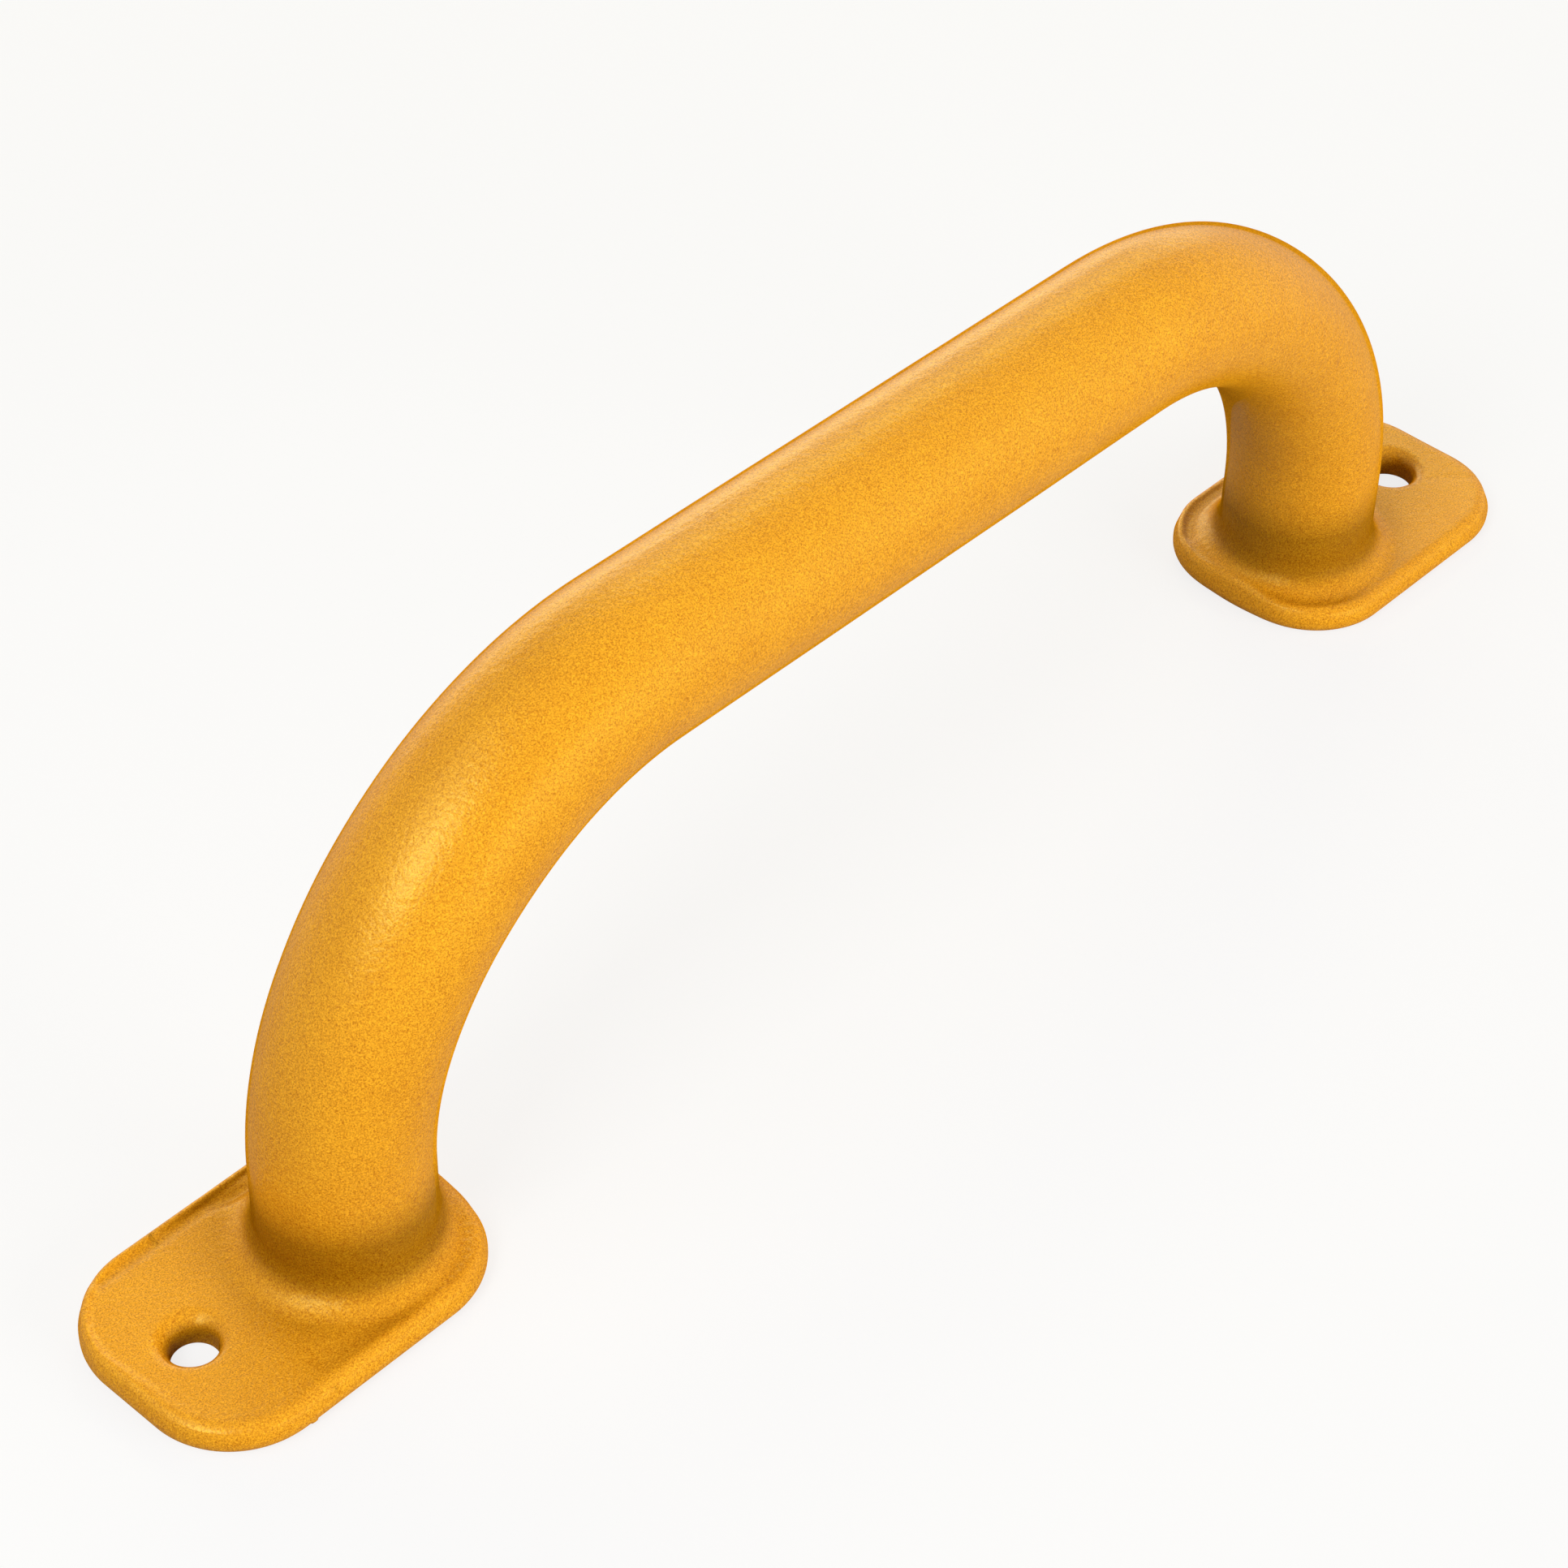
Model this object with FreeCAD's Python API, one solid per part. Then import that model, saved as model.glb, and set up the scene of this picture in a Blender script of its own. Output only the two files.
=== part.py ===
import FreeCAD, Part
import math
import os

# A U-shaped grab handle: one bent steel tube welded to two steel foot plates.
# The whole weldment is dipped once, so one soft vinyl skin covers every face.
# Sizes are millimetres. X runs along the grip and Z is up from the mounting face.
# The origin lies on the mounting face, midway between the two legs.

Vector = FreeCAD.Vector
up = Vector(0, 0, 1)

# Steel tube
tube_od = 22.2
tube_wall = 1.6
leg_spacing = 210.0  # between the axes of the two legs
grip_height = 72.8  # from the mounting face up to the axis of the grip
bend_radius = 55.0  # to the axis of the tube
bend_pinch = 0.7  # radius lost in the plane of a bend, at mid bend
bend_spread = 0.35  # radius gained across that plane
bend_drift = 0.45  # how far the flattened section moves towards the bend's centre

# Steel foot plates
plate_length = 51.25
plate_width = 35.25
plate_thickness = 2.6
plate_corner = 12.5
plate_toe = 14.65  # from the leg's axis to the plate's inner end
plate_edge_break = 0.4  # rounding of the blanked edges
screw_inset = 9.7  # from the plate's outer end in to the axis of the screw hole
screw_hole = 10.4  # diameter through the bare steel

# Fillet weld round each foot of the tube
weld_leg = 2.4
weld_crown = 0.2  # how far the face of the bead bulges

# Vinyl skin
skin_tube = 1.55  # on the tube
skin_edge = 1.6  # on the edge of a foot plate
skin_top = 1.0  # on the flat top of a foot plate
skin_under = 1.0  # under a foot plate
skin_hole = 1.4  # on the wall of a screw hole
skin_weld = 1.25  # on the face of a weld bead
rim_height = 0.45  # the fat edge stands this much above the flat top
rim_crest = 1.6  # from the outer edge in to the top of the fat edge
rim_shoulder = 2.3  # how far the fat edge's outer rounding comes down
rim_width = 2.7  # from the outer edge in to the inner foot of the fat edge
under_round = 1.9  # rounding of the lower edge
lip_round = 1.5  # rounded mouth of a screw hole, above
lip_under = 0.4  # the same below
drip_radius = 0.7  # dried drip that stayed on the left plate's lower edge
drip_gap = 1.3  # from the start of the plate's outer corner in to the drip

# Levels and places that follow from the sizes above
tube_radius = tube_od / 2
skin_radius = tube_radius + skin_tube
leg_x = leg_spacing / 2
bend_start = grip_height - bend_radius
steel_top = skin_under + plate_thickness
flat_top = steel_top + skin_top
rim_top = flat_top + rim_height
plate_end = -leg_x + plate_toe - plate_length
screw_x = plate_end + screw_inset
bore_radius = screw_hole / 2 - skin_hole
root_two = math.sqrt(2)
# the hollow round a foot is as large as leaves the skin its thickness over the weld
foot_round = (skin_weld + weld_crown + (weld_leg - skin_tube - skin_top) / root_two) / (root_two - 1)
# roundings never take more than their share of the height they are on
lower_round = min(under_round, rim_top * 0.4)
upper_round = min(rim_shoulder, rim_top * 0.5)
mouth_round = min(lip_round, flat_top * 0.6)
bend_sections = 9
overlap = 0.5  # how far joined solids reach into each other


def spin(points_and_curves, x):
    """A solid of revolution about the upright axis at this x, from a closed outline drawn in the XZ plane."""
    outline = Part.Wire([curve.toShape() for curve in points_and_curves])
    return Part.Face(outline).revolve(Vector(x, 0, 0), up, 360)


def line(a, b):
    return Part.LineSegment(a, b)


def quarter(a, b, centre):
    """A quarter turn from a to b about a centre."""
    middle = (a + b) * 0.5 - centre
    middle.normalize()
    return Part.Arc(a, centre + middle * a.distanceToPoint(centre), b)


def soft_corner(a, corner, b):
    """A quarter of an ellipse from a to b, tangent to the two lines that meet at the corner."""
    handle = (root_two - 1) * 4 / 3
    curve = Part.BezierCurve()
    curve.setPoles([a, a + (corner - a) * handle, b + (corner - b) * handle, b])
    return curve


# Tube, its bore and its skin are the same swept rod with other radii

def section(radius, angle):
    """The rod's outline at an angle round the left bend: 0 at the leg and 90 degrees at the grip."""
    flattening = math.sin(2 * angle) ** 2
    reach = bend_radius - bend_drift * flattening
    outward = Vector(-math.cos(angle), 0, math.sin(angle))
    across = Vector(0, 1, 0)
    centre = Vector(bend_radius - leg_x, 0, bend_start) + outward * reach
    in_plane = radius - bend_pinch * flattening
    sideways = radius + bend_spread * flattening
    if sideways - in_plane < 1e-6:
        curve = Part.Circle(centre, outward.cross(across), radius)
        curve.XAxis = across
    else:
        curve = Part.Ellipse(centre + across * sideways, centre + outward * in_plane, centre)
    return Part.Wire(curve.toShape())


def bent_rod(radius):
    """A solid rod along the whole handle, from one foot plate over the grip to the other."""
    leg = Part.makeCylinder(radius, bend_start - steel_top, Vector(-leg_x, 0, steel_top))
    angles = [math.pi / 2 * i / (bend_sections - 1) for i in range(bend_sections)]
    bend = Part.makeLoft([section(radius, angle) for angle in angles], True, False)
    grip_start = Vector(bend_radius - leg_x, 0, grip_height)
    grip = Part.makeCylinder(radius, leg_spacing - 2 * bend_radius, grip_start, Vector(1, 0, 0))
    half = leg.fuse(bend)
    return half.multiFuse([grip, other_side(half)])


def other_side(shape):
    """The same shape at the handle's other end."""
    return shape.mirror(Vector(0, 0, 0), Vector(1, 0, 0))


# Foot plate of the left end

def plate_outline(grow, z):
    """The plate's rounded rectangle, grown all round by an amount."""
    inner = -leg_x + plate_toe + grow
    outer = plate_end - grow
    side = plate_width / 2 + grow
    corner = plate_corner + grow
    turn = corner * math.sqrt(0.5)
    centres = [
        Vector(inner - corner, side - corner, z),
        Vector(outer + corner, side - corner, z),
        Vector(outer + corner, corner - side, z),
        Vector(inner - corner, corner - side, z),
    ]
    ways = [Vector(1, 0, 0), Vector(0, 1, 0), Vector(-1, 0, 0), Vector(0, -1, 0)]
    edges = []
    for i, centre in enumerate(centres):
        start = centre + ways[i] * corner
        end = centre + ways[(i + 1) % 4] * corner
        middle = centre + (ways[i] + ways[(i + 1) % 4]) * turn
        following = centres[(i + 1) % 4] + ways[(i + 1) % 4] * corner
        edges.append(Part.Arc(start, middle, end).toShape())
        edges.append(line(end, following).toShape())
    return Part.Wire(edges)


def foot_plate():
    """The blanked steel plate with its one screw hole."""
    plate = Part.Face(plate_outline(0, skin_under)).extrude(up * plate_thickness)
    hole = Part.makeCylinder(screw_hole / 2, plate_thickness, Vector(screw_x, 0, skin_under))
    flat_edges = [edge for edge in plate.Edges if edge.BoundBox.ZLength < plate_thickness / 2]
    return plate.makeFillet(min(plate_edge_break, plate_thickness / 3), flat_edges).cut(hole)


def weld_bead():
    """The fillet weld that runs round the foot of the tube."""
    toe = Vector(-leg_x + tube_radius + weld_leg, 0, steel_top)
    root = Vector(-leg_x + tube_radius, 0, steel_top)
    top = Vector(-leg_x + tube_radius, 0, steel_top + weld_leg)
    crown = (toe + top) * 0.5 + Vector(1, 0, 1).normalize() * weld_crown
    return spin([line(root, toe), Part.Arc(toe, crown, top), line(top, root)], -leg_x)


# Vinyl skin of the left foot

def rim():
    """The skin's edge round a plate: rounded below, and fat above where the vinyl drew back from the corner."""
    side = plate_width / 2 + skin_edge
    middle_x = plate_end + plate_length / 2

    def at(inward, z):
        return Vector(middle_x, side - inward, z)

    # the crest falls to the flat in two equal arcs, one turned over the other
    fall = rim_width - rim_crest
    sway = (fall ** 2 + rim_height ** 2) / (4 * rim_height)
    half_turn = math.atan2(rim_height, fall)
    crest, low = at(rim_crest, rim_top), at(rim_width, flat_top)
    halfway = (crest + low) * 0.5
    shoulder = at(rim_crest + sway * math.sin(half_turn), rim_top - sway * (1 - math.cos(half_turn)))
    hollow = at(rim_width - sway * math.sin(half_turn), flat_top + sway * (1 - math.cos(half_turn)))
    deep = rim_width + overlap
    profile = Part.Wire([curve.toShape() for curve in [
        quarter(at(lower_round, 0), at(0, lower_round), at(lower_round, lower_round)),
        line(at(0, lower_round), at(0, rim_top - upper_round)),
        soft_corner(at(0, rim_top - upper_round), at(0, rim_top), crest),
        Part.Arc(crest, shoulder, halfway),
        Part.Arc(halfway, hollow, low),
        line(low, at(deep, flat_top)),
        line(at(deep, flat_top), at(deep, 0)),
        line(at(deep, 0), at(lower_round, 0)),
    ]])
    sweep = Part.BRepOffsetAPI.MakePipeShell(plate_outline(skin_edge, 0))
    sweep.setBiNormalMode(up)
    sweep.add(profile, False, False)
    sweep.build()
    sweep.makeSolid()
    return sweep.shape()


def screw_bore():
    """What the screw hole takes out of the skin: a plain bore with a rounded mouth at each end."""
    clear = foot_round + rim_height  # past the hollow round the foot, if the hole is near it

    def at(radius, z):
        return Vector(screw_x + radius, 0, z)

    wide, narrow = bore_radius + mouth_round, bore_radius + lip_under
    return spin([
        line(at(0, -clear), at(narrow, -clear)),
        line(at(narrow, -clear), at(narrow, 0)),
        quarter(at(narrow, 0), at(bore_radius, lip_under), at(narrow, lip_under)),
        line(at(bore_radius, lip_under), at(bore_radius, flat_top - mouth_round)),
        quarter(at(bore_radius, flat_top - mouth_round), at(wide, flat_top), at(wide, flat_top - mouth_round)),
        line(at(wide, flat_top), at(wide, flat_top + clear)),
        line(at(wide, flat_top + clear), at(0, flat_top + clear)),
        line(at(0, flat_top + clear), at(0, -clear)),
    ], screw_x)


def foot_hollow():
    """The concave ring of vinyl that runs from the leg out to the plate's flat top."""
    wide = skin_radius + foot_round

    def at(radius, z):
        return Vector(-leg_x + radius, 0, z)

    return spin([
        line(at(0, steel_top), at(wide, steel_top)),
        line(at(wide, steel_top), at(wide, flat_top)),
        quarter(at(wide, flat_top), at(skin_radius, flat_top + foot_round), at(wide, flat_top + foot_round)),
        line(at(skin_radius, flat_top + foot_round), at(0, flat_top + foot_round)),
        line(at(0, flat_top + foot_round), at(0, steel_top)),
    ], -leg_x)


def foot_skin():
    flat = Part.Face(plate_outline(skin_edge - rim_width, 0)).extrude(up * flat_top)
    return rim().fuse(flat).fuse(foot_hollow()).cut(screw_bore()).removeSplitter()


def drip():
    """The small dried drip, tucked into the lower edge so that it stays within the plate's height and width."""
    tuck = drip_radius * 1.05
    side = plate_width / 2 + skin_edge
    return Part.makeSphere(drip_radius, Vector(plate_end + plate_corner + drip_gap, tuck - side, tuck))


# The six pieces

solid_rod = bent_rod(tube_radius)
steel_tube = solid_rod.cut(bent_rod(tube_radius - tube_wall))
left_foot_plate = foot_plate()
right_foot_plate = other_side(left_foot_plate)
left_weld_bead = weld_bead()
right_weld_bead = other_side(left_weld_bead)
left_skin = foot_skin()
dipped = bent_rod(skin_radius).multiFuse([left_skin, other_side(left_skin), drip()]).removeSplitter()
weldment = solid_rod.multiFuse([left_foot_plate, right_foot_plate, left_weld_bead, right_weld_bead])
vinyl_coat = dipped.cut(weldment)

pieces = {
    "vinyl_coat": vinyl_coat,
    "steel_tube": steel_tube,
    "left_foot_plate": left_foot_plate,
    "right_foot_plate": right_foot_plate,
    "left_weld_bead": left_weld_bead,
    "right_weld_bead": right_weld_bead,
}
os.makedirs("parts", exist_ok=True)
for name, shape in pieces.items():
    solid = shape.Solids[0]
    print(name, len(shape.Solids), "solid", round(solid.Volume), "mm3", "sound" if solid.isValid() else "unsound")
    solid.exportStep("parts/" + name + ".step")
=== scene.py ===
import bpy
import bmesh
import math
import numpy as np
from mathutils import Matrix, Vector


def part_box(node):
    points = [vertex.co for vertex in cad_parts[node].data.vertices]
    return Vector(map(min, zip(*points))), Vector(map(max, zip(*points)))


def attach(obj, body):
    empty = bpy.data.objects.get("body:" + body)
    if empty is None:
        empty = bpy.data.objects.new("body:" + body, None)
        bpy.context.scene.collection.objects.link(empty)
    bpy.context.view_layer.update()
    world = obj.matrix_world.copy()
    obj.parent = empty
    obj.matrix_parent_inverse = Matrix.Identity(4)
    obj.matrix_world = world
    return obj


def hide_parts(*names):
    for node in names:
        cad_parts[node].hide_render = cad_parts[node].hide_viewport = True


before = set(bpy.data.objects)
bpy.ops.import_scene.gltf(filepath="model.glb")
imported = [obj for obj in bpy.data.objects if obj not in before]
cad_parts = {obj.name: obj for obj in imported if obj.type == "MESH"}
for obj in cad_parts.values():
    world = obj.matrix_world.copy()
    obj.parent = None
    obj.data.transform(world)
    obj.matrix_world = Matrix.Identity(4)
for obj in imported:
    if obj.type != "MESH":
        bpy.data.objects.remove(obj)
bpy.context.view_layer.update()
mm = 0.001
print("frame is in, with nodes", sorted(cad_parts))


def boxInMm(node):
    low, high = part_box(node)
    return np.array(low) / mm, np.array(high) / mm


# What the frame says about places, in millimetres.
# u runs outward from a leg's axis, the same way at both ends of the handle, and v runs across the grip
coatHigh = boxInMm("vinyl_coat")[1]
tubeHigh = boxInMm("steel_tube")[1]
plateLow, plateHigh = boxInMm("right_foot_plate")
beadLow, beadHigh = boxInMm("right_weld_bead")
legX = (beadLow[0] + beadHigh[0]) / 2
tubeRadius = tubeHigh[0] - legX
gripZ = tubeHigh[2] - tubeRadius
gripRadius = coatHigh[2] - gripZ
skinEdge = coatHigh[0] - plateHigh[0]
outerEnd = coatHigh[0] - legX
toeEnd = plateLow[0] - skinEdge - legX
halfWidth = coatHigh[1]
plateMiddle = (outerEnd + toeEnd) / 2
halfLength = (outerEnd - toeEnd) / 2


# The skin is drawn as rings of points that are pulled onto one smooth form. Sizes in millimetres
coat = {
    "bendRadius": 55.0,
    "bendPinch": 0.7,              # the tube is a little flat in its bends,
    "bendSpread": 0.35,            # so it is wider across them
    "bendDrift": 0.45,             # and its middle moves inward
    "flatTop": 4.6,                # upper face of a foot, above the floor
    "corner": 14.1,
    "edgeIn": (2.5, 1.5),          # the edge comes down over this width, where the rim is low and where high,
    "edgeDown": 2.3,               # and over this height
    "crestIn": (1.4, 0.9),         # from the outline in to the crest of the rim, likewise
    "rimFoot": (4.4, 2.1),         # and to where the rim ends
    "rimTurn": 0.75,               # how fast the rim goes from low to high on the way round a foot
    "underRound": 1.9,
    "footRound": 5.0,              # hollow between a leg and its foot
    "leanFrom": 12.0,              # a leg is at its most shifted and slim below this height,
    "leanOver": 40.0,              # and straight this much higher
    "holeOut": 26.9,
    "funnelToward": (0.15, 0.99),  # the side where a hole's mouth runs out like a funnel
    "funnelTurn": 0.6,
    "splitOut": 18.75,             # line across a foot where the rings of leg and hole meet
    "mouthUnder": 0.5,
    "waviness": 0.03,              # how far the dipped skin wanders
    "waveFrom": 9.0,               # it starts this high up a leg
    "waveOver": 12.0,              # and is full this much higher
    "crownGap": 0.02,              # there is less of it on the crown of the grip, which sets the height
    "crownOver": 3.0,
    "crownShare": 0.35,
}

# The two feet came out of the dip a little different.
# A dent runs from one point to another: u, v, u, v, width, depth
feet = {
    "left": {
        "side": -1,
        "holeRadius": 3.35,
        "mouth": 1.8,
        "funnel": 1.1,
        "rim": 0.1,
        "rimGain": 0.4,
        "rimToward": (0.0, 1.0),
        "legShift": -0.4,
        "legSlim": 0.0,
        "drip": True,
        "dents": [
            (2.5, 14.4, 9.3, 16.7, 1.2, 0.55),
            (9.3, 16.7, 29.0, 16.7, 0.9, 0.42),
            (3.0, -15.6, 16.5, -14.2, 2.2, 0.2),
            (-10.0, -11.5, -13.2, -4.0, 1.5, 0.1),
        ],
    },
    "right": {
        "side": 1,
        "holeRadius": 3.95,
        "mouth": 2.2,
        "funnel": 0.5,
        "rim": 0.03,
        "rimGain": 0.14,
        "rimToward": (-0.6, 0.8),
        "legShift": 0.1,
        "legSlim": 0.22,
        "drip": False,
        "dents": [
            (2.0, 15.6, -6.5, 15.5, 1.6, 0.34),
            (-6.5, 15.5, -11.3, 12.6, 1.6, 0.32),
            (-5.0, -14.9, 1.0, -15.6, 2.4, 0.03),
            (1.0, -15.6, 8.5, -13.6, 2.4, 0.05),
            (10.8, -9.2, 12.4, -7.4, 1.0, 0.14),
            (29.4, -6.4, 35.0, -12.0, 0.9, 0.07),
        ],
    },
}

# The last drop of the dip, set hard on the left foot's edge
drip = {"out": 22.8, "radius": 0.5, "inset": 0.5, "height": 0.62, "blend": 0.25}

# How finely the skin is drawn
rings = {
    "toeSteps": 128,        # along the outline, round the leg's part of a foot
    "endSteps": 100,        # round the hole's part
    "dripCrowd": 5,         # more points near the drip,
    "dripReach": 1.3,       # within about this many millimetres
    "outlineFine": 4001,    # points that this crowding is worked out on
    "splitSteps": 52,
    "topRows": 38,
    "sideRows": 3,
    "underRows": 9,
    "baseRows": 9,
    "lipRows": 3,
    "wallRows": 5,
    "aboveCollar": 0.8,     # first ring of a leg above its hollow
    "legStep": 1.2,         # up the leg
    "belowBend": 0.2,
    "tubeStep": 1.7,        # along the bends and the grip
    "settleSteps": 7,
}


def outlineInset(u, v):
    # how far inside a foot's rounded rectangle a point lies
    du = np.abs(u - plateMiddle) - (halfLength - coat["corner"])
    dv = np.abs(v) - (halfWidth - coat["corner"])
    beyond = np.hypot(np.maximum(du, 0), np.maximum(dv, 0)) + np.minimum(np.maximum(du, dv), 0)
    return coat["corner"] - beyond


def roundMax(a, b, r):
    return np.minimum(-r, np.maximum(a, b)) + np.hypot(np.maximum(a + r, 0), np.maximum(b + r, 0))


def roundMin(a, b, r):
    return np.maximum(r, np.minimum(a, b)) - np.hypot(np.maximum(r - a, 0), np.maximum(r - b, 0))


def smooth(t):
    t = np.clip(t, 0, 1)
    return t * t * (3 - 2 * t)


def between(pair, share):
    return pair[0] + (pair[1] - pair[0]) * share


def legShape(foot, z):
    # how a leg leans and thins towards its foot
    low = 1 - smooth((z - coat["leanFrom"]) / coat["leanOver"])
    return foot["legShift"] * low, gripRadius - foot["legSlim"] * low


def rimShare(foot, u, v):
    # 0 on the side of a foot where the rim is low and 1 where it is high
    du = (u - plateMiddle) / halfLength
    dv = v / halfWidth
    middle = 0.2    # no side is told apart this close to the middle
    toward = (du * foot["rimToward"][0] + dv * foot["rimToward"][1]) / np.maximum(np.hypot(du, dv), middle)
    return smooth(0.5 + coat["rimTurn"] * toward)


def topHeight(foot, u, v):
    # upper face of a foot, with its rim and the shallow dents that the dip left
    inset = outlineInset(u, v)
    share = rimShare(foot, u, v)
    crest = between(coat["crestIn"], share)
    fall = smooth((inset - crest) / (between(coat["rimFoot"], share) - crest))
    height = coat["flatTop"] + (foot["rim"] + foot["rimGain"] * share) * (1 - fall)
    depth = np.zeros_like(height)
    for u1, v1, u2, v2, width, deep in foot["dents"]:
        length = (u2 - u1) ** 2 + (v2 - v1) ** 2
        along = np.clip(((u - u1) * (u2 - u1) + (v - v1) * (v2 - v1)) / length, 0, 1)
        away = np.hypot(u - u1 - along * (u2 - u1), v - v1 - along * (v2 - v1))
        depth = np.maximum(depth, deep * np.exp(-(away / width) ** 2))
    return height - depth


def mouthRound(foot, u, v, z):
    # the hole's mouth is sharper on one side and runs out like a funnel on the other
    towardU, towardV = coat["funnelToward"]
    nearest = 0.1    # keeps the hole's own axis out of the division
    reach = np.maximum(np.hypot(u - coat["holeOut"], v), nearest)
    facing = ((u - coat["holeOut"]) * towardU + v * towardV) / reach
    upper = foot["mouth"] + foot["funnel"] * smooth(0.5 + coat["funnelTurn"] * facing)
    return np.where(z > coat["flatTop"] / 2, upper, coat["mouthUnder"])


def footForm(foot, p):
    # below zero inside the skin of one foot, above zero outside
    u, v, z = p[:, 0], p[:, 1], p[:, 2]
    inset = outlineInset(u, v)
    down = coat["edgeDown"]
    fromEdge = -inset / between(coat["edgeIn"], rimShare(foot, u, v))
    fromTop = (z - topHeight(foot, u, v)) / down
    upper = down * roundMax(fromEdge, fromTop, 1)
    lower = roundMax(-inset, -z, coat["underRound"])
    form = np.maximum(upper, lower)
    shift, radius = legShape(foot, z)
    form = roundMin(form, np.hypot(u - shift, v) - radius, coat["footRound"])
    bore = foot["holeRadius"] - np.hypot(u - coat["holeOut"], v)
    form = roundMax(form, bore, mouthRound(foot, u, v, z))
    if foot["drip"]:
        du = u - drip["out"]
        dv = v + halfWidth - drip["inset"]
        dz = z - drip["height"]
        form = roundMin(form, np.sqrt(du ** 2 + dv ** 2 + dz ** 2) - drip["radius"], drip["blend"])
    return form


def settle(foot, p):
    # each point slides along the form's slope until it lies on the surface
    nudge = 1e-3
    flattest = 0.05    # keeps a step finite where the slope runs out
    longest = 0.6
    for step in range(rings["settleSteps"]):
        value = footForm(foot, p)
        slope = np.empty_like(p)
        for axis in range(3):
            shift = np.zeros(3)
            shift[axis] = nudge
            slope[:, axis] = (footForm(foot, p + shift) - footForm(foot, p - shift)) / (2 * nudge)
        steepness = np.maximum((slope ** 2).sum(1), flattest)
        p = p - np.clip(value / steepness, -longest, longest)[:, None] * slope
    return p


def wander(p):
    # slow unevenness of the dipped skin, made of four waves:
    # radians for each millimetre of x, y and z, and where the wave starts
    waves = [
        (0.11, 0.07, 0.19, 0.4),
        (-0.06, 0.23, 0.13, 1.9),
        (0.17, -0.15, 0.29, 3.1),
        (0.05, 0.31, -0.21, 5.2),
    ]
    total = sum(np.sin(p @ np.array(w[:3]) + w[3]) for w in waves)
    return coat["waviness"] * total / len(waves)


class Skin:
    # points and faces of the coat, in millimetres

    def __init__(self):
        self.points = []
        self.faces = []
        self.count = 0

    def add(self, ring):
        self.points.append(ring)
        start = self.count
        self.count += len(ring)
        return np.arange(start, self.count)

    def bridge(self, a, b, flip=False):
        n = len(a)
        for j in range(n):
            k = (j + 1) % n
            face = (a[j], b[j], b[k], a[k])
            self.faces.append(face[::-1] if flip else face)

    def fan(self, ring, centre, flip=False):
        n = len(ring)
        for j in range(n):
            face = (ring[j], centre, ring[(j + 1) % n])
            self.faces.append(face[::-1] if flip else face)


# The outline of a foot, as straights and quarter turns
straightU = halfLength - coat["corner"]
straightV = halfWidth - coat["corner"]
toeTurn = plateMiddle - straightU
endTurn = plateMiddle + straightU
quarter = coat["corner"] * math.pi / 2
toSplit = coat["splitOut"] - toeTurn
fromSplit = endTurn - coat["splitOut"]


def outlineAt(s):
    # point and outward direction at a length along the outline, from the split line's -v end round the toe
    across = 2 * straightV
    along = 2 * straightU
    runs = [toSplit, quarter, across, quarter, along, quarter, across, quarter, fromSplit]
    s = s % sum(runs)
    for i, length in enumerate(runs):
        if s <= length or i == len(runs) - 1:
            break
        s -= length
    turns = {
        1: (toeTurn, -straightV, -math.pi / 2),
        3: (toeTurn, straightV, math.pi),
        5: (endTurn, straightV, math.pi / 2),
        7: (endTurn, -straightV, 0.0),
    }
    if i in turns:
        centreU, centreV, startAngle = turns[i]
        angle = startAngle - s / coat["corner"]
        outU = math.cos(angle)
        outV = math.sin(angle)
        return centreU + coat["corner"] * outU, centreV + coat["corner"] * outV, outU, outV
    straights = {
        0: (coat["splitOut"] - s, -halfWidth, 0.0, -1.0),
        2: (toeEnd, s - straightV, -1.0, 0.0),
        4: (toeTurn + s, halfWidth, 0.0, 1.0),
        6: (outerEnd, straightV - s, 1.0, 0.0),
        8: (endTurn - s, -halfWidth, 0.0, -1.0),
    }
    return straights[i]


def outlinePoints():
    toe = 2 * toSplit + 2 * quarter + 2 * straightV
    end = 2 * fromSplit + 2 * quarter + 2 * straightV
    toeStops = np.linspace(0, toe, rings["toeSteps"] + 1)[:-1]
    # the hole's part has more points near the drip
    fine = np.linspace(0, end, rings["outlineFine"])
    dripAt = end - (drip["out"] - coat["splitOut"])
    density = 1 + rings["dripCrowd"] * np.exp(-((fine - dripAt) / rings["dripReach"]) ** 2)
    amount = np.concatenate([[0], np.cumsum((density[1:] + density[:-1]) / 2)])
    endStops = toe + np.interp(np.linspace(0, amount[-1], rings["endSteps"] + 1)[:-1], amount, fine)
    return np.array([outlineAt(s) for s in np.concatenate([toeStops, endStops])])


outline = outlinePoints()
toeCount = rings["toeSteps"] + 1
splitV = np.linspace(halfWidth, -halfWidth, rings["splitSteps"] + 1)[1:-1]
splitLine = np.column_stack([np.full(len(splitV), coat["splitOut"]), splitV])
legLoop = np.concatenate([outline[:toeCount, :2], splitLine])
ringAngles = np.arctan2(legLoop[:, 1], legLoop[:, 0])


def spaced(rows):
    # row places from 0 to 1, close together at both ends
    return (1 - np.cos(np.pi * np.arange(rows + 1) / rows)) / 2


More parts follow.
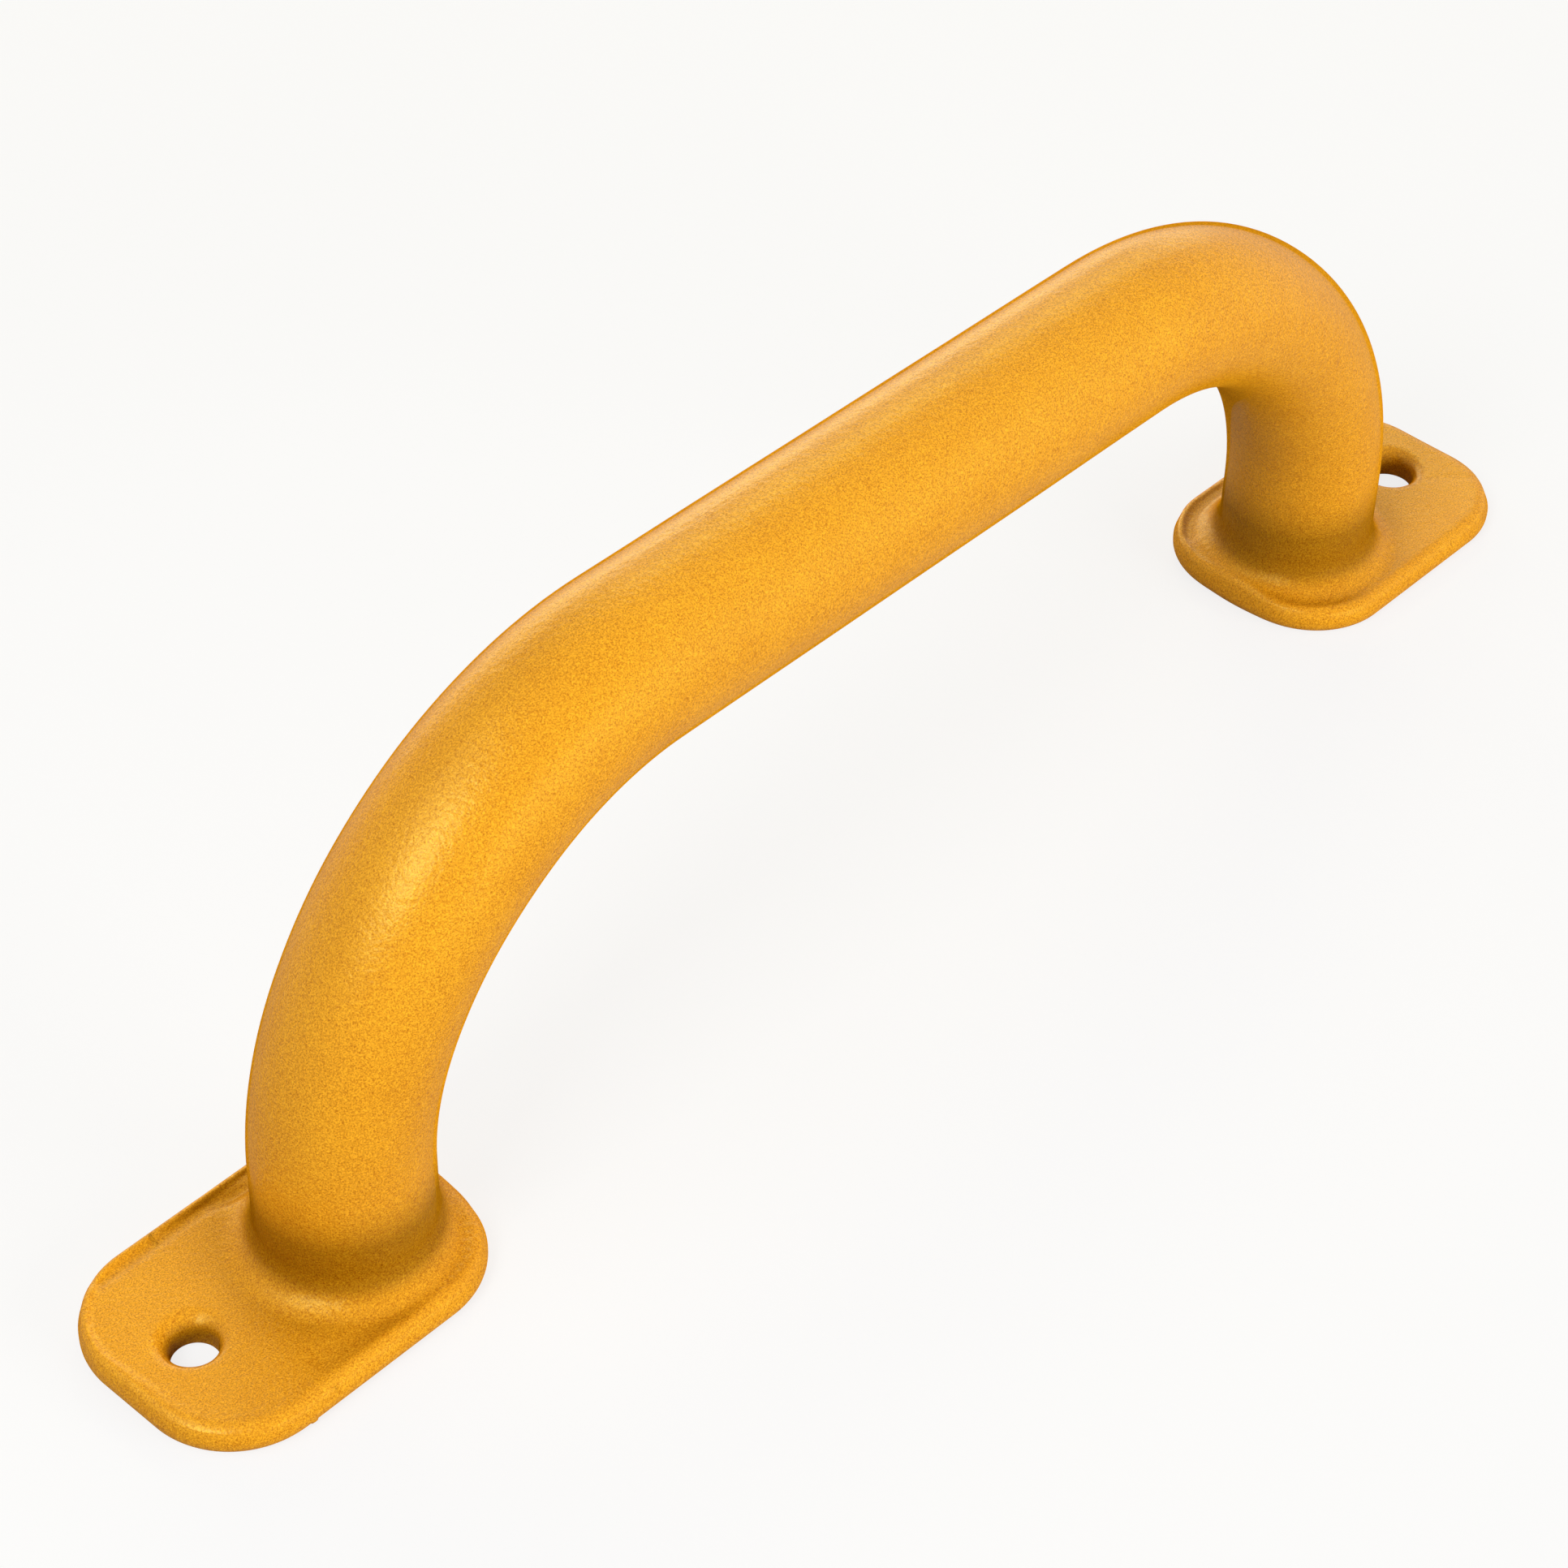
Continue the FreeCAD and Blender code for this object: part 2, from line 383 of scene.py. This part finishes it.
def topGuess(foot, u, v):
    # first height of a point on the upper face
    shift, radius = legShape(foot, coat["flatTop"])
    fromLeg = np.hypot(u - shift, v) - radius
    r = coat["footRound"]
    hollow = coat["flatTop"] + r - np.sqrt(np.maximum(r * r - (r - np.clip(fromLeg, 0, r)) ** 2, 0))
    edgeIn = between(coat["edgeIn"], rimShare(foot, u, v))
    inset = np.clip(outlineInset(u, v), 0, edgeIn)
    drop = coat["edgeDown"] * (1 - np.sqrt(np.maximum(1 - (1 - inset / edgeIn) ** 2, 0)))
    m = foot["mouth"]
    fromHole = np.clip(np.hypot(u - coat["holeOut"], v) - foot["holeRadius"], 0, m)
    sink = m - np.sqrt(np.maximum(m * m - (m - fromHole) ** 2, 0))
    return np.maximum(hollow, topHeight(foot, u, v) - drop) - sink


def onTop(foot, plan):
    return np.column_stack([plan, topGuess(foot, plan[:, 0], plan[:, 1])])


def atHeight(plan, z):
    return np.column_stack([plan, np.full(len(plan), z)])


def buildFoot(skin, foot):
    # rings of one foot in u, v, z; returns the ring where the tube goes on
    side = foot["side"]
    flip = side > 0
    shift, radius = legShape(foot, coat["flatTop"])

    def put(ring):
        placed = settle(foot, ring)
        return skin.add(np.column_stack([side * (placed[:, 0] + legX), placed[:, 1], placed[:, 2]]))

    def carryOn(previous, plans):
        # ring after ring, each joined to the one before; returns the last
        for plan in plans:
            row = put(plan)
            skin.bridge(previous, row, flip)
            previous = row
        return previous

    def spread(circle, loop, outer):
        # the upper face, from a circle out to the points of a loop that are there already; returns the circle
        plans = [onTop(foot, circle + (loop - circle) * s) for s in spaced(rings["topRows"])[:-1]]
        first = put(plans[0])
        skin.bridge(carryOn(first, plans[1:]), outer, flip)
        return first

    edge = outline[:, :2]
    edgeTop = put(np.column_stack([edge, topHeight(foot, edge[:, 0], edge[:, 1]) - coat["edgeDown"]]))
    splitTop = put(onTop(foot, splitLine))

    # upper face round the leg
    circle = np.column_stack([shift + radius * np.cos(ringAngles), radius * np.sin(ringAngles)])
    collar = spread(circle, legLoop, np.concatenate([edgeTop[:toeCount], splitTop]))

    # upper face round the hole
    holeLoop = np.concatenate([edge[toeCount - 1:], edge[:1], splitLine[::-1]])
    holeOuter = np.concatenate([edgeTop[toeCount - 1:], edgeTop[:1], splitTop[::-1]])
    holeCentre = np.array([coat["holeOut"], 0])
    holeAngles = np.arctan2(holeLoop[:, 1], holeLoop[:, 0] - coat["holeOut"])
    around = np.column_stack([np.cos(holeAngles), np.sin(holeAngles)])
    bore = holeCentre + foot["holeRadius"] * around
    mouthTop = spread(bore, holeLoop, holeOuter)

    # outer edge, down its side and under
    outward = outline[:, 2:]
    r = coat["underRound"]
    levels = np.linspace(coat["flatTop"] - coat["edgeDown"], r, rings["sideRows"] + 1)[1:]
    plans = [atHeight(edge, z) for z in levels]
    for turn in np.linspace(0, math.pi / 2, rings["underRows"] + 1)[1:]:
        inward = r * (1 - math.cos(turn))
        plans.append(atHeight(edge - outward * inward, r * (1 - math.sin(turn))))
    edgeUnder = carryOn(edgeTop, plans)

    # flat underside round the leg's axis
    splitPlan = np.column_stack([splitLine[:, 0], splitV * ((halfWidth - r) / halfWidth)])
    splitUnder = put(atHeight(splitPlan, 0.0))
    base = edge - outward * r
    legBase = np.concatenate([base[:toeCount], splitPlan])
    shares = np.linspace(1, 0, rings["baseRows"] + 1)[1:]
    start = np.concatenate([edgeUnder[:toeCount], splitUnder])
    last = carryOn(start, [atHeight(legBase * s, 0.0) for s in shares[:-1]])
    centre = put(np.zeros((1, 3)))
    skin.fan(last, centre[0], flip)

    # flat underside round the hole, its lip and the wall up to the mouth
    holeBase = np.concatenate([base[toeCount - 1:], base[:1], splitPlan[::-1]])
    m = coat["mouthUnder"]
    circle = holeCentre + (foot["holeRadius"] + m) * around
    plans = [atHeight(circle + (holeBase - circle) * s, 0.0) for s in shares]
    for turn in np.linspace(0, math.pi / 2, rings["lipRows"] + 1)[1:]:
        lip = holeCentre + (foot["holeRadius"] + m * (1 - math.sin(turn))) * around
        plans.append(atHeight(lip, m * (1 - math.cos(turn))))
    wallTop = coat["flatTop"] - foot["mouth"] - foot["funnel"]
    plans += [atHeight(bore, z) for z in np.linspace(m, wallTop, rings["wallRows"] + 1)[1:]]
    start = np.concatenate([edgeUnder[toeCount - 1:], edgeUnder[:1], splitUnder[::-1]])
    skin.bridge(carryOn(start, plans), mouthTop, flip)
    return collar


def tubeRing(foot, centreU, centreZ, outU, outZ, inPlane, across):
    # one ring of the tube: its middle, the direction away from the bend's centre, and its two radii
    shift, radius = legShape(foot, centreZ)
    inPlane = inPlane + radius - gripRadius
    across = across + radius - gripRadius
    reach = 1 / np.sqrt((np.cos(ringAngles) / inPlane) ** 2 + (np.sin(ringAngles) / across) ** 2)
    rise = reach * np.cos(ringAngles)
    ring = np.column_stack([
        foot["side"] * (centreU + shift + outU * rise),
        reach * np.sin(ringAngles),
        centreZ + outZ * rise,
    ])
    middle = np.array([foot["side"] * (centreU + shift), 0, centreZ])
    outward = (ring - middle) / np.linalg.norm(ring - middle, axis=1)[:, None]
    z = ring[:, 2]
    fade = smooth((z - coat["waveFrom"]) / coat["waveOver"])
    fade = fade * smooth((gripZ + gripRadius - coat["crownGap"] - z) / coat["crownOver"] + coat["crownShare"])
    return ring + outward * (wander(ring) * fade - coat["waviness"] * fade)[:, None]


def halfTube(foot):
    # rings from above a foot's hollow to the middle of the grip
    bend = coat["bendRadius"]
    bendStart = gripZ - bend
    collarTop = coat["flatTop"] + coat["footRound"]
    found = []
    for z in np.arange(collarTop + rings["aboveCollar"], bendStart - rings["belowBend"], rings["legStep"]):
        found.append(tubeRing(foot, legX, z, 1, 0, gripRadius, gripRadius))
    turns = int(round(bend * math.pi / 2 / rings["tubeStep"]))
    for i in range(turns + 1):
        angle = math.pi / 2 * i / turns
        outU = math.cos(angle)
        outZ = math.sin(angle)
        flat = math.sin(2 * angle) ** 2
        reach = bend - coat["bendDrift"] * flat
        inPlane = gripRadius - coat["bendPinch"] * flat
        across = gripRadius + coat["bendSpread"] * flat
        centreU = legX - bend + reach * outU
        centreZ = bendStart + reach * outZ
        found.append(tubeRing(foot, centreU, centreZ, outU, outZ, inPlane, across))
    straight = legX - bend
    steps = int(round(straight / rings["tubeStep"]))
    for i in range(1, steps):
        found.append(tubeRing(foot, straight * (1 - i / steps), gripZ, 0, 1, gripRadius, gripRadius))
    return found


def buildSkin():
    skin = Skin()
    leftCollar = buildFoot(skin, feet["left"])
    rightCollar = buildFoot(skin, feet["right"])
    leftRings = halfTube(feet["left"])
    rightRings = halfTube(feet["right"])
    middle = tubeRing(feet["left"], 0.0, gripZ, 0, 1, gripRadius, gripRadius)
    previous = leftCollar
    for ring in leftRings + [middle] + rightRings[::-1]:
        row = skin.add(ring)
        skin.bridge(row, previous)
        previous = row
    skin.bridge(rightCollar, previous)
    return skin


def innerWall():
    # the faces of the skin that lie against the steel, taken from the frame's own node:
    # all but what hangs together with its topmost point
    shell = bmesh.new()
    shell.from_mesh(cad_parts["vinyl_coat"].data)
    joinWithin = 1e-6    # metres, for the points that the frame's mesh has more than once
    bmesh.ops.remove_doubles(shell, verts=shell.verts, dist=joinWithin)
    shell.verts.ensure_lookup_table()
    top = max(shell.verts, key=lambda vert: vert.co.z)
    outer = {top}
    waiting = [top]
    while waiting:
        vert = waiting.pop()
        for edge in vert.link_edges:
            other = edge.other_vert(vert)
            if other not in outer:
                outer.add(other)
                waiting.append(other)
    bmesh.ops.delete(shell, geom=list(outer), context="VERTS")
    return shell


def linkedObject(name, mesh):
    obj = bpy.data.objects.new(name, mesh)
    bpy.context.scene.collection.objects.link(obj)
    return obj


def makeSkinObject():
    skin = buildSkin()
    points = np.concatenate(skin.points)
    points[:, 2] = np.maximum(points[:, 2], 0)
    mesh = bpy.data.meshes.new("vinyl_skin")
    mesh.from_pydata((points * mm).tolist(), [], [tuple(int(i) for i in face) for face in skin.faces])
    form = bmesh.new()
    form.from_mesh(mesh)
    bmesh.ops.recalc_face_normals(form, faces=form.faces)
    form.to_mesh(mesh)
    form.free()
    print("outer skin has", len(mesh.vertices), "points and", len(mesh.polygons), "faces")
    wall = innerWall()
    print("inner wall has", len(wall.verts), "points")
    wallMesh = bpy.data.meshes.new("vinyl_inner")
    wall.to_mesh(wallMesh)
    wall.free()
    obj = linkedObject("vinyl_skin", mesh)
    inner = linkedObject("vinyl_inner", wallMesh)
    bpy.ops.object.select_all(action="DESELECT")
    inner.select_set(True)
    obj.select_set(True)
    bpy.context.view_layer.objects.active = obj
    bpy.ops.object.join()
    obj.data.shade_smooth()
    return obj


skinObject = makeSkinObject()
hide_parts("vinyl_coat")
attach(skinObject, "root")
print("skin is built")


def toLinear(hexColour):
    # sRGB hex to the linear colour that the shaders take
    parts = [int(hexColour.lstrip("#")[i:i + 2], 16) / 255 for i in (0, 2, 4)]
    return tuple(c / 12.92 if c <= 0.04045 else ((c + 0.055) / 1.055) ** 2.4 for c in parts) + (1.0,)


def addNode(tree, kind, settings=None, values=None, links=None):
    # one node with its settings, the values of its sockets and the links into it
    node = tree.nodes.new(kind)
    for key, value in (settings or {}).items():
        setattr(node, key, value)
    for key, value in (values or {}).items():
        node.inputs[key].default_value = value
    for key, socket in (links or {}).items():
        tree.links.new(socket, node.inputs[key])
    return node


def emptyMaterial(name):
    material = bpy.data.materials.new(name)
    material.use_nodes = True
    material.node_tree.nodes.clear()
    return material, material.node_tree


# Sockets of a colour mix, which Blender knows by number only
mixFirst = 6
mixSecond = 7
mixResult = 2
noiseSwing = 0.25    # a noise uses about this share of its range, up and down from its middle

vinyl = {
    "colour": "#EFA11C",           # the skin's own tone, where no shade is painted
    "shadeTone": "#805200",           # painted shade: the darker tone put into the hollows and low on the legs
    "hollowMm": 19,                # how far around a place counts for how hollow it is
    "hollowSamples": 8,
    "openSpan": (0.36, 1.0),       # how open a place is where the painted shade is full and where it has gone
    # painted shade also on a leg just above its foot: from and to this height, how clear of it the skin is at
    # both
    "legFootShade": [(5.0, 7.6, 1.0, 0.34), (8.2, 23.0, 0.0, 1.0)],
    "roughness": 0.31,             # cured plastisol is satin
    "ior": 1.53,                   # PVC
    "gloss": 0.7,
    "edgeGloss": 0.0,              # the fine pebble shades its own gloss where the skin turns away
    "turnSpan": (0.25, 0.82),      # how far it has turned where that starts and where it is full
    "glossTint": "#FFF28C",
    "grainMm": 0.23,               # fine pebble of the cured skin, drawn a little coarse so that it shows
    "grainDepthMm": 0.006,
    "grainTone": 0.54,             # how far a grain is lighter or darker than its neighbours
    "mottle": (0.65, 1.0, 1.7),    # red, green and blue share of that
    "noiseSpan": (0.3, 0.7),       # the part of a noise that the tone follows
    "blotchMm": 9,
    "blotchTone": 0.05,
    "peelMm": 0.9,                 # leathery wrinkle of the dip
    "peelDepthMm": 0.028,
}


def mottled(tree, colour, noise, amount):
    # the colour moved by a noise between a browner, darker tone and a yellower, lighter one
    lowest, highest = vinyl["noiseSpan"]
    swing = [amount * weight for weight in vinyl["mottle"]]
    darker = [1 - part for part in swing] + [1.0]
    lighter = [1 + part for part in swing] + [1.0]
    share = addNode(tree, "ShaderNodeMapRange",
                    values={"From Min": lowest, "From Max": highest},
                    links={"Value": noise})
    tint = addNode(tree, "ShaderNodeMix", {"data_type": "RGBA", "clamp_result": False},
                   {mixFirst: darker, mixSecond: lighter},
                   {"Factor": share.outputs["Result"]})
    scaled = addNode(tree, "ShaderNodeVectorMath", {"operation": "MULTIPLY"},
                     links={0: colour, 1: tint.outputs[mixResult]})
    return scaled.outputs[0]


def paintedShadeClear(tree, place):
    # 0 where shade is painted in, in a hollow or on a leg just above its foot, and 1 where none is
    # painted shade: how hollow a place is sets how much darkening it gets
    hollow = addNode(tree, "ShaderNodeAmbientOcclusion",
                     {"samples": vinyl["hollowSamples"], "only_local": True},
                     {"Distance": vinyl["hollowMm"] * mm})
    fullest, clearest = vinyl["openSpan"]
    openness = addNode(tree, "ShaderNodeMapRange", {"interpolation_type": "SMOOTHSTEP"},
                       {"From Min": fullest, "From Max": clearest},
                       {"Value": hollow.outputs["AO"]})
    # painted shade: a band of darkening low on the legs, by height
    height = addNode(tree, "ShaderNodeSeparateXYZ", links={"Vector": place}).outputs["Z"]
    steps = []
    for first, last, clearFirst, clearLast in vinyl["legFootShade"]:
        step = addNode(tree, "ShaderNodeMapRange", {"interpolation_type": "SMOOTHSTEP"},
                       {"From Min": first * mm, "From Max": last * mm,
                        "To Min": clearFirst, "To Max": clearLast},
                       {"Value": height})
        steps.append(step.outputs["Result"])
    clear = addNode(tree, "ShaderNodeMath", {"operation": "MAXIMUM"}, links={0: steps[0], 1: steps[1]})
    shadeClear = addNode(tree, "ShaderNodeMath", {"operation": "MULTIPLY"},
                   links={0: clear.outputs[0], 1: openness.outputs["Result"]})
    return shadeClear.outputs[0]


def vinylMaterial():
    # PVC plastisol, hot-dipped and oven-cured: a soft satin skin, finely pebbled, with a broad dull highlight
    material, tree = emptyMaterial("pvcPlastisolDipped")
    place = addNode(tree, "ShaderNodeTexCoord").outputs["Object"]
    shadeClear = paintedShadeClear(tree, place)
    # painted shade: the base colour goes toward the darker tone in the hollows and low on the legs
    tone = addNode(tree, "ShaderNodeMix", {"data_type": "RGBA"},
                   {mixFirst: toLinear(vinyl["shadeTone"]), mixSecond: toLinear(vinyl["colour"])},
                   {"Factor": shadeClear})
    grain = addNode(tree, "ShaderNodeTexNoise",
                    values={"Scale": 1 / (vinyl["grainMm"] * mm), "Detail": 2.0,
                            "Roughness": 0.6, "Distortion": 0.5},
                    links={"Vector": place})
    blotch = addNode(tree, "ShaderNodeTexNoise",
                     values={"Scale": 1 / (vinyl["blotchMm"] * mm), "Detail": 3.0},
                     links={"Vector": place})
    peel = addNode(tree, "ShaderNodeTexNoise",
                   values={"Scale": 1 / (vinyl["peelMm"] * mm), "Detail": 2.0},
                   links={"Vector": place})
    colour = mottled(tree, tone.outputs[mixResult], grain.outputs["Fac"], vinyl["grainTone"])
    colour = mottled(tree, colour, blotch.outputs["Fac"], vinyl["blotchTone"])
    wrinkled = addNode(tree, "ShaderNodeBump",
                       values={"Strength": 1.0, "Distance": vinyl["peelDepthMm"] * mm / noiseSwing},
                       links={"Height": peel.outputs["Fac"]})
    pebbled = addNode(tree, "ShaderNodeBump",
                      values={"Strength": 1.0, "Distance": vinyl["grainDepthMm"] * mm / noiseSwing},
                      links={"Height": grain.outputs["Fac"], "Normal": wrinkled.outputs["Normal"]})
    turned = addNode(tree, "ShaderNodeLayerWeight", values={"Blend": 0.5})
    facingMost, turnedMost = vinyl["turnSpan"]
    level = addNode(tree, "ShaderNodeMapRange",
                    values={"From Min": facingMost, "From Max": turnedMost,
                            "To Min": vinyl["gloss"], "To Max": vinyl["edgeGloss"]},
                    links={"Value": turned.outputs["Facing"]})
    # where shade is painted the gloss is lowered too
    gloss = addNode(tree, "ShaderNodeMath", {"operation": "MULTIPLY"},
                    links={0: level.outputs["Result"], 1: shadeClear})
    shader = addNode(tree, "ShaderNodeBsdfPrincipled",
                     values={"Roughness": vinyl["roughness"], "IOR": vinyl["ior"],
                             "Specular Tint": toLinear(vinyl["glossTint"])},
                     links={"Base Color": colour, "Normal": pebbled.outputs["Normal"],
                            "Specular IOR Level": gloss.outputs[0]})
    addNode(tree, "ShaderNodeOutputMaterial", links={"Surface": shader.outputs["BSDF"]})
    return material


# Bare mild steel, hidden under the skin: a cold grey metal with a dull, uneven sheen
steel = {
    "polished": "#A8A7A4",     # the tone of its brighter spots
    "markDepthMm": 0.02,
    "kinds": [
        # material, tone, roughness, size of its marks in mm, nodes.
        # The tube is drawn and the smoothest, the plates are rolled and duller, the beads dark and rippled
        ("weldedSteelTube", "#8C8B89", 0.38, 1.5, ["steel_tube"]),
        ("blankedSteelPlate", "#858483", 0.45, 2.5, ["left_foot_plate", "right_foot_plate"]),
        ("arcWeldedSteelBead", "#6F6B66", 0.4, 0.8, ["left_weld_bead", "right_weld_bead"]),
    ],
}


def steelMaterial(name, colour, roughness, markMm):
    material, tree = emptyMaterial(name)
    place = addNode(tree, "ShaderNodeTexCoord").outputs["Object"]
    marks = addNode(tree, "ShaderNodeTexNoise", values={"Scale": 1 / (markMm * mm), "Detail": 4.0},
                    links={"Vector": place})
    tone = addNode(tree, "ShaderNodeMix", {"data_type": "RGBA"},
                   {mixFirst: toLinear(colour), mixSecond: toLinear(steel["polished"])},
                   {"Factor": marks.outputs["Fac"]})
    bump = addNode(tree, "ShaderNodeBump", values={"Strength": 0.6, "Distance": steel["markDepthMm"] * mm},
                   links={"Height": marks.outputs["Fac"]})
    shader = addNode(tree, "ShaderNodeBsdfPrincipled", values={"Metallic": 1.0, "Roughness": roughness},
                     links={"Base Color": tone.outputs[mixResult], "Normal": bump.outputs["Normal"]})
    addNode(tree, "ShaderNodeOutputMaterial", links={"Surface": shader.outputs["BSDF"]})
    return material


def dress(obj, material):
    obj.data.materials.clear()
    obj.data.materials.append(material)


dress(skinObject, vinylMaterial())
for name, colour, roughness, markMm, nodes in steel["kinds"]:
    material = steelMaterial(name, colour, roughness, markMm)
    for node in nodes:
        dress(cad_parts[node], material)
print("materials are on")


# Studio: floor, soft boxes, pale surround. Lengths in metres
studio = {
    "floorRadius": 3.0,
    "floorSides": 96,
    "floorColour": "#F8F8F7",
    "bounceColour": "#AAAAA8",              # the floor as bounced light meets it: the legs stay dark low down
    "keepShadow": 0.2,                      # share of the floor's own shading that the camera still sees,
    "shadowReach": (0.3, 0.8),              # and how far from the middle it starts and stops fading
    "nearGloss": (0.02, 0.35),              # a gloss this close to the floor sees the floor's own shade
    "ambient": 0.22,
    "lampDistance": 1.2,
    "aimHeight": 0.03,
    "fillOnly": ("rightBox", "rightEdge"),  # these light the skin but don't show in its gloss
    "lamps": [
        # name, azimuth from +Y towards +X, elevation, width, height, radiance, colour
        ("keyBox", -66, 52, 0.5, 0.6, 1.8, "#FFFFFF"),
        ("keySpot", -101, 42, 0.42, 0.46, 9.0, "#FFFFFF"),
        ("rightBox", 172, 12, 0.9, 0.5, 7.0, "#FFFFFF"),
        ("rightEdge", 137, 20, 0.3, 0.8, 1.4, "#FFFFFF"),
        ("backLow", 32, 4, 1.39, 0.17, 4.6, "#FFF0B4"),
        ("backMiddle", 36, 10, 0.5, 0.12, 4.6, "#FFF0B4"),
        ("backLeft", 17, 22, 0.42, 0.3, 3.2, "#FFF0B4"),
        ("backTop", 50, 39, 0.36, 0.22, 6.6, "#FFF0B4"),
        ("backHigh", 24, 54, 0.3, 0.15, 1.4, "#FFF0B4"),
        ("backRight", 65, 20, 0.2, 0.6, 2.2, "#FFF0B4"),
    ],
}


def pathFlag(tree, nearGloss=None):
    # 1 for what the camera, a gloss or a see-through surface looks at
    light = addNode(tree, "ShaderNodeLightPath")
    glossy = light.outputs["Is Glossy Ray"]
    if nearGloss:
        far = addNode(tree, "ShaderNodeMapRange",
                      values={"From Min": nearGloss[0], "From Max": nearGloss[1]},
                      links={"Value": light.outputs["Ray Length"]})
        farGloss = addNode(tree, "ShaderNodeMath", {"operation": "MULTIPLY"},
                           links={0: glossy, 1: far.outputs["Result"]})
        glossy = farGloss.outputs[0]
    seen = addNode(tree, "ShaderNodeMath", {"operation": "MAXIMUM"},
                   links={0: light.outputs["Is Camera Ray"], 1: glossy})
    both = addNode(tree, "ShaderNodeMath", {"operation": "MAXIMUM"},
                   links={0: seen.outputs[0], 1: light.outputs["Is Transmission Ray"]})
    return both.outputs[0]


def floorMaterial():
    # painted sweep, matte and white: a plain ground that shows the handle's soft shadow
    material, tree = emptyMaterial("matteWhiteSweep")
    light = addNode(tree, "ShaderNodeLightPath")
    bounce = addNode(tree, "ShaderNodeMath", {"operation": "MAXIMUM"},
                     links={0: light.outputs["Is Diffuse Ray"], 1: light.outputs["Is Glossy Ray"]})
    colour = addNode(tree, "ShaderNodeMix", {"data_type": "RGBA"},
                     {mixFirst: toLinear(studio["floorColour"]), mixSecond: toLinear(studio["bounceColour"])},
                     {"Factor": bounce.outputs[0]})
    diffuse = addNode(tree, "ShaderNodeBsdfDiffuse", links={"Color": colour.outputs[mixResult]})
    glow = addNode(tree, "ShaderNodeEmission", values={"Color": (1, 1, 1, 1), "Strength": 1.0})
    place = addNode(tree, "ShaderNodeTexCoord").outputs["Object"]
    away = addNode(tree, "ShaderNodeVectorMath", {"operation": "LENGTH"}, links={0: place})
    fadeFrom, fadeTo = studio["shadowReach"]
    plain = addNode(tree, "ShaderNodeMapRange",
                    values={"From Min": fadeFrom, "From Max": fadeTo,
                            "To Min": 1 - studio["keepShadow"], "To Max": 1.0},
                    links={"Value": away.outputs["Value"]})
    share = addNode(tree, "ShaderNodeMath", {"operation": "MULTIPLY"},
                    links={0: pathFlag(tree, studio["nearGloss"]), 1: plain.outputs["Result"]})
    mix = addNode(tree, "ShaderNodeMixShader",
                  links={0: share.outputs[0], 1: diffuse.outputs[0], 2: glow.outputs[0]})
    addNode(tree, "ShaderNodeOutputMaterial", links={"Surface": mix.outputs[0]})
    return material


def makeFloor():
    bpy.ops.mesh.primitive_circle_add(
        vertices=studio["floorSides"], radius=studio["floorRadius"], fill_type="NGON", location=(0, 0, 0))
    floor = bpy.context.object
    floor.name = "studio_floor"
    dress(floor, floorMaterial())


def makeWorld():
    world = bpy.data.worlds.new("paleStudio")
    bpy.context.scene.world = world
    world.use_nodes = True
    tree = world.node_tree
    tree.nodes.clear()
    strength = addNode(tree, "ShaderNodeMapRange",
                       values={"To Min": studio["ambient"], "To Max": 1.0},
                       links={"Value": pathFlag(tree)})
    back = addNode(tree, "ShaderNodeBackground", values={"Color": (1, 1, 1, 1)},
                   links={"Strength": strength.outputs["Result"]})
    addNode(tree, "ShaderNodeOutputWorld", links={"Surface": back.outputs[0]})


def makeLamps():
    aim = Vector((0, 0, studio["aimHeight"]))
    for name, azimuth, elevation, width, height, radiance, colour in studio["lamps"]:
        a = math.radians(azimuth)
        e = math.radians(elevation)
        direction = Vector((math.sin(a) * math.cos(e), math.cos(a) * math.cos(e), math.sin(e)))
        data = bpy.data.lights.new(name, "AREA")
        data.shape = "RECTANGLE"
        data.size = width
        data.size_y = height
        data.energy = radiance * math.pi * width * height
        data.color = toLinear(colour)[:3]
        lamp = linkedObject(name, data)
        lamp.visible_glossy = name not in studio["fillOnly"]
        lamp.location = aim + direction * studio["lampDistance"]
        lamp.rotation_euler = direction.to_track_quat("Z", "Y").to_euler()


makeFloor()
makeWorld()
makeLamps()
print("studio is set")


# Camera, at the place and with the lens that the photograph was fitted to
camera = {
    "azimuth": -48.177,
    "elevation": 42.033,
    "distanceMm": 587.893,
    "roll": 1.658,
    "aimMm": (-7.253, 10.236, 16.339),
    "lensMm": 91.105,
    "sensorMm": 36.0,
    "nearestMm": 10,
}


def makeCamera():
    a = math.radians(camera["azimuth"])
    e = math.radians(camera["elevation"])
    r = math.radians(camera["roll"])
    back = Vector((math.sin(a) * math.cos(e), -math.cos(a) * math.cos(e), math.sin(e)))
    right = Vector((0, 0, 1)).cross(back).normalized()
    up = back.cross(right)
    rolledRight = right * math.cos(r) + up * math.sin(r)
    rolledUp = up * math.cos(r) - right * math.sin(r)
    data = bpy.data.cameras.new("productCamera")
    data.lens = camera["lensMm"]
    data.sensor_width = camera["sensorMm"]
    data.clip_start = camera["nearestMm"] * mm
    obj = linkedObject("productCamera", data)
    place = (Vector(camera["aimMm"]) + back * camera["distanceMm"]) * mm
    turn = Matrix((rolledRight, rolledUp, back)).transposed()
    obj.matrix_world = Matrix.Translation(place) @ turn.to_4x4()
    bpy.context.scene.camera = obj


makeCamera()
bpy.context.scene.view_settings.view_transform = "Standard"
print("camera is up")
